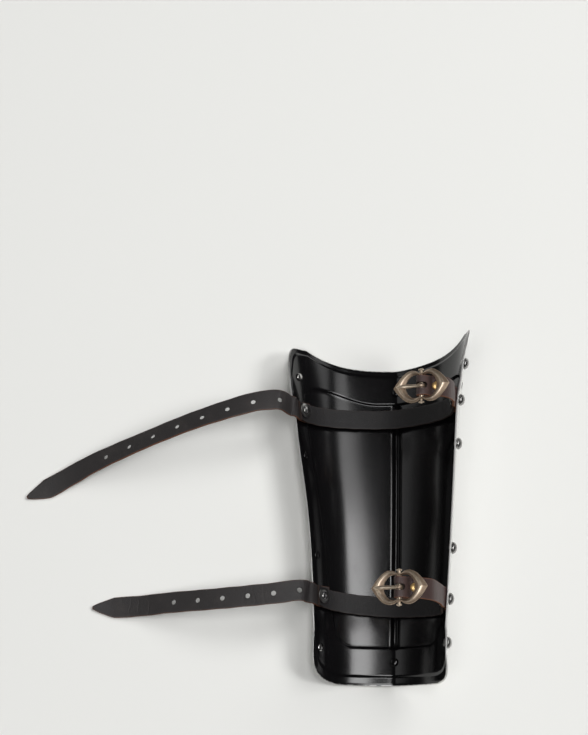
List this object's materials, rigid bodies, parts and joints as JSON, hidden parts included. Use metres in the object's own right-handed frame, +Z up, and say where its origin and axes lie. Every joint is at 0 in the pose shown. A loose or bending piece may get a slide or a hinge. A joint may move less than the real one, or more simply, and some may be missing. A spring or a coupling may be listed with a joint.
{
  "type": "vambrace",
  "caption": "Fluted steel forearm plate lying hollow up, with leather straps riveted inside it and centre-bar buckles hinged on their own short straps.",
  "frame": {"origin": "centre of the bounding box's base, on the floor that the vambrace lies on", "axes": "+X from the strap side to the buckle side, +Y from the wrist end to the elbow end, +Z up out of the hollow"},
  "size_m": [0.3371, 0.2598, 0.1194],
  "materials": {
    "polished_steel": "mirror-polished steel with fine hand marks",
    "black_leather": "dyed vegetable-tanned leather, satin",
    "brown_leather": "dark brown dyed leather, raw edges, satin",
    "aged_bronze": "cast bronze, antiqued and rubbed bright on its ridges",
    "brass": "polished brass"
  },
  "bodies": {
    "vambrace": {"plate": "polished_steel", "elbow_band": "black_leather", "wrist_band": "black_leather", "elbow_strap": "black_leather", "wrist_strap": "black_leather", "elbow_buckle_strap": "brown_leather", "wrist_buckle_strap": "brown_leather", "elbow_buckle_rivet": "brass", "wrist_buckle_rivet": "brass", "rivet_left_1": "polished_steel", "rivet_left_2": "polished_steel", "rivet_left_3": "polished_steel", "rivet_left_4": "polished_steel", "rivet_left_5": "polished_steel", "rivet_left_6": "polished_steel", "rivet_right_1": "polished_steel", "rivet_right_2": "polished_steel", "rivet_right_3": "polished_steel", "rivet_right_4": "polished_steel", "rivet_right_5": "polished_steel", "rivet_right_6": "polished_steel", "rivet_ridge_wrist": "polished_steel", "rivet_ridge_elbow": "polished_steel", "washer_left_2": "polished_steel", "washer_left_5": "polished_steel", "washer_right_2": "polished_steel", "washer_right_5": "polished_steel"},
    "elbow_buckle": {"elbow_buckle_frame": "aged_bronze"},
    "elbow_tongue": {"elbow_buckle_tongue": "aged_bronze"},
    "wrist_buckle": {"wrist_buckle_frame": "aged_bronze"},
    "wrist_tongue": {"wrist_buckle_tongue": "aged_bronze"}
  },
  "joints": [
    {"name": "elbow_buckle_hinge", "type": "hinge", "parent": "vambrace", "child": "elbow_buckle", "pos_m": [0.12888, 0.07279, 0.10866], "axis": [0.0055, -1, -0.0048], "range_deg": [-10, 100]},
    {"name": "elbow_tongue_hinge", "type": "hinge", "parent": "elbow_buckle", "child": "elbow_tongue", "pos_m": [0.12888, 0.07279, 0.10866], "axis": [-0.0055, 1, 0.0048], "range_deg": [0, 130]},
    {"name": "wrist_buckle_hinge", "type": "hinge", "parent": "vambrace", "child": "wrist_buckle", "pos_m": [0.1152, -0.07032, 0.09429], "axis": [0.0055, -1, -0.0048], "range_deg": [-10, 100]},
    {"name": "wrist_tongue_hinge", "type": "hinge", "parent": "wrist_buckle", "child": "wrist_tongue", "pos_m": [0.1152, -0.07032, 0.09429], "axis": [-0.0055, 1, 0.0048], "range_deg": [0, 130]}
  ]
}
